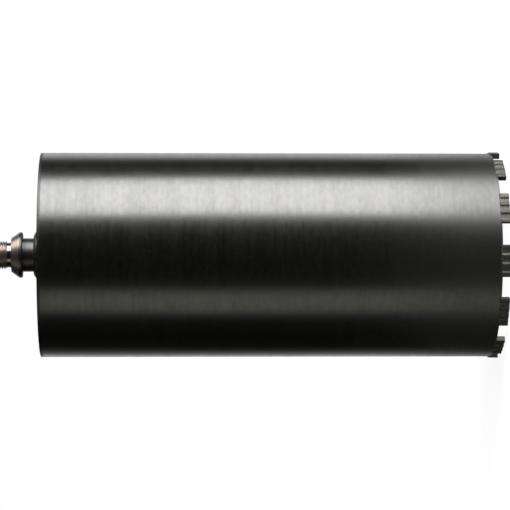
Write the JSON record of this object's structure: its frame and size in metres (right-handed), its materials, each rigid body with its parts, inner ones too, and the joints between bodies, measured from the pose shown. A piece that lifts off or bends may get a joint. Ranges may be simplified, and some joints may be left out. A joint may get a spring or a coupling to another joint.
{
  "type": "diamond core bit",
  "caption": "Diamond core bit for wet drilling in concrete: a steel barrel with a ring of grooved segments at its open end and a threaded spindle hub for the drill.",
  "frame": {"origin": "on the bit's axis, in the plane of the segment tips, which is what the bit stands on", "axes": "+Z along the bit's axis from the segment tips to the threaded connector; -Y through the middle of segment_01"},
  "size_m": [0.152, 0.152, 0.3807],
  "materials": {
    "barrel_coating": "black satin lacquer over finely turned steel",
    "hub_steel": "turned steel, bare on the thread and the seating cone, blackened on the neck and the boss",
    "weld_coating": "black satin lacquer over a rippled weld bead",
    "segment_matrix": "sintered metal powder with diamond grit, dull grey"
  },
  "bodies": {
    "root": {"barrel_tube": "barrel_coating", "back_plate": "barrel_coating", "spindle_hub": "hub_steel", "hub_weld": "weld_coating", "segment_01": "segment_matrix", "segment_02": "segment_matrix", "segment_03": "segment_matrix", "segment_04": "segment_matrix", "segment_05": "segment_matrix", "segment_06": "segment_matrix", "segment_07": "segment_matrix", "segment_08": "segment_matrix", "segment_09": "segment_matrix", "segment_10": "segment_matrix", "segment_11": "segment_matrix", "segment_12": "segment_matrix"}
  },
  "joints": []
}
